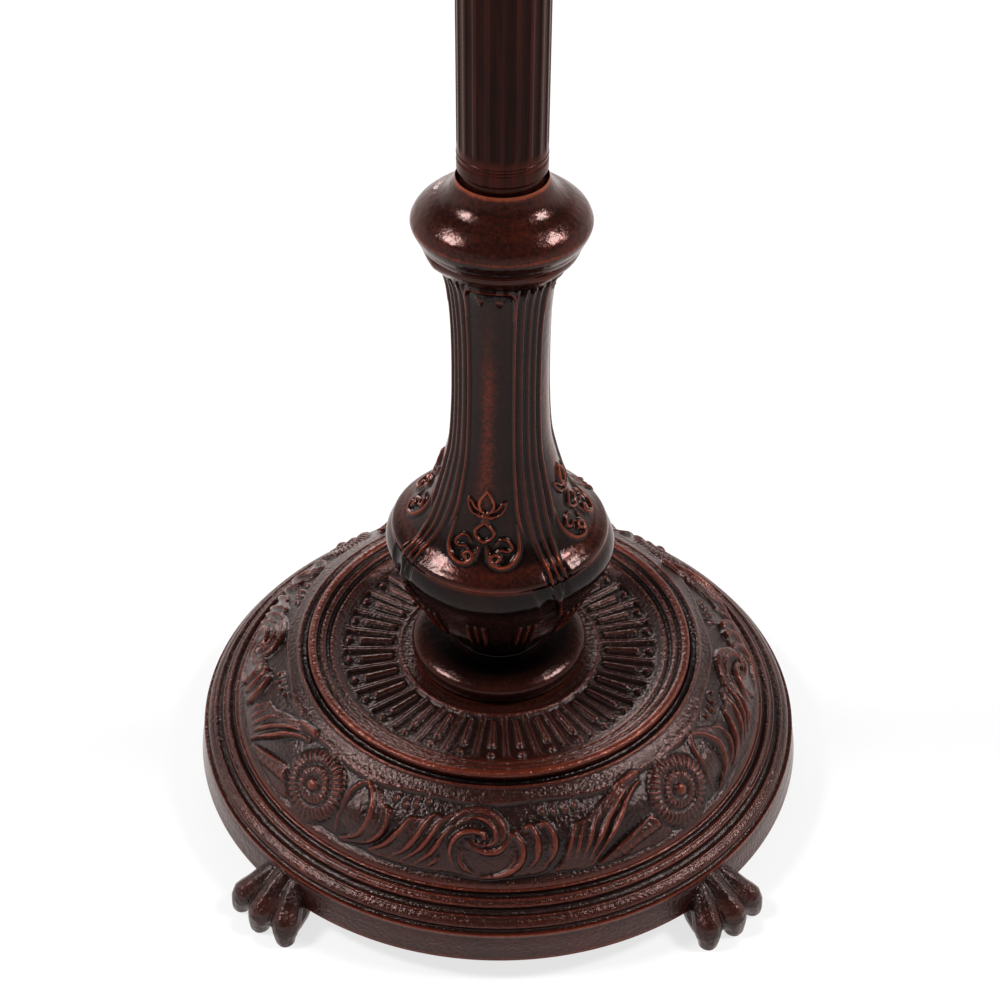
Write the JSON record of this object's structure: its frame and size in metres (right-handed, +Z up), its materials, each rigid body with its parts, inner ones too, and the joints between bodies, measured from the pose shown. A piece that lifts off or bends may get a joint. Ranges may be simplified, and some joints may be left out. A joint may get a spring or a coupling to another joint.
{
  "type": "floor lamp",
  "caption": "Floor lamp: scrolled round base on claw feet, waisted stem, bell collar, fluted column, leaded glass dome, pull-chain sockets.",
  "frame": {"origin": "on the floor under the column's axis, in the plane of the claw feet", "axes": "+Z up along the column, -Y towards the front, sockets along X, lead-in at the back right"},
  "size_m": [0.4484, 0.4484, 1.5358],
  "materials": {
    "cast_bronze": "sand-cast iron, bronze painted, rubbed red-brown on its edges",
    "smooth_bronze": "smooth castings and tubes, bronze painted",
    "ballast_iron": "raw cast iron",
    "plated_steel": "zinc-plated steel",
    "brass": "aged brass",
    "antique_brass": "antique brass shell and fittings",
    "moulded_black": "moulded thermoset",
    "bush_rubber": "moulded rubber",
    "lead": "soldered came, dark patina",
    "glass_amber": "opalescent amber",
    "glass_cream": "opalescent cream",
    "glass_green": "opalescent green"
  },
  "bodies": {
    "stand": {"base_casting": "cast_bronze", "base_ballast": "ballast_iron", "base_cover": "plated_steel", "lead_in_bush": "bush_rubber", "stem_socle": "smooth_bronze", "stem_casting": "smooth_bronze", "stem_collar": "smooth_bronze", "column_ferrule": "smooth_bronze", "column_tube_lower": "smooth_bronze", "column_knop": "smooth_bronze", "column_tube_upper": "smooth_bronze", "column_capital": "smooth_bronze", "cluster_body": "smooth_bronze", "tie_pipe_lower": "plated_steel", "tie_pipe_upper": "plated_steel", "pipe_coupling": "plated_steel", "pipe_nuts": "brass", "pipe_washer": "plated_steel", "shade_bearer": "antique_brass", "riser_pipe": "brass", "socket_nipple_right": "brass", "socket_cap_right": "antique_brass", "socket_shell_right": "antique_brass", "switch_block_right": "moulded_black", "screw_shell_right": "brass", "centre_contact_right": "brass", "chain_guide_right": "antique_brass", "socket_nipple_left": "brass", "socket_cap_left": "antique_brass", "socket_shell_left": "antique_brass", "switch_block_left": "moulded_black", "screw_shell_left": "brass", "centre_contact_left": "brass", "chain_guide_left": "antique_brass"},
    "shade": {"glass_apron": "glass_green", "glass_lower": "glass_amber", "glass_middle": "glass_cream", "glass_upper": "glass_cream", "glass_shoulder": "glass_amber", "glass_crown": "glass_green", "shade_leading": "lead", "shade_rim": "lead", "crown_ring": "antique_brass", "heat_cap": "smooth_bronze"},
    "finial_knob": {"finial": "smooth_bronze"},
    "pull_right": {"pull_chain_right": "antique_brass", "chain_bell_right": "antique_brass"},
    "pull_left": {"pull_chain_left": "antique_brass", "chain_bell_left": "antique_brass"}
  },
  "joints": [
    {"name": "shade_turn", "type": "hinge", "parent": "stand", "child": "shade", "pos_m": [0, 0, 1.4548], "axis": [0, 0, 1], "continuous": true},
    {"name": "finial_turn", "type": "hinge", "parent": "stand", "child": "finial_knob", "pos_m": [0, 0, 1.4848], "axis": [0, 0, 1], "continuous": true},
    {"name": "pull_chain_right", "type": "slide", "parent": "stand", "child": "pull_right", "axis": [0, 0, -1], "range_m": [0, 0.009], "stiffness_N_per_m": 400, "springref_m": -0.003},
    {"name": "pull_chain_left", "type": "slide", "parent": "stand", "child": "pull_left", "axis": [0, 0, -1], "range_m": [0, 0.009], "stiffness_N_per_m": 400, "springref_m": -0.003}
  ]
}
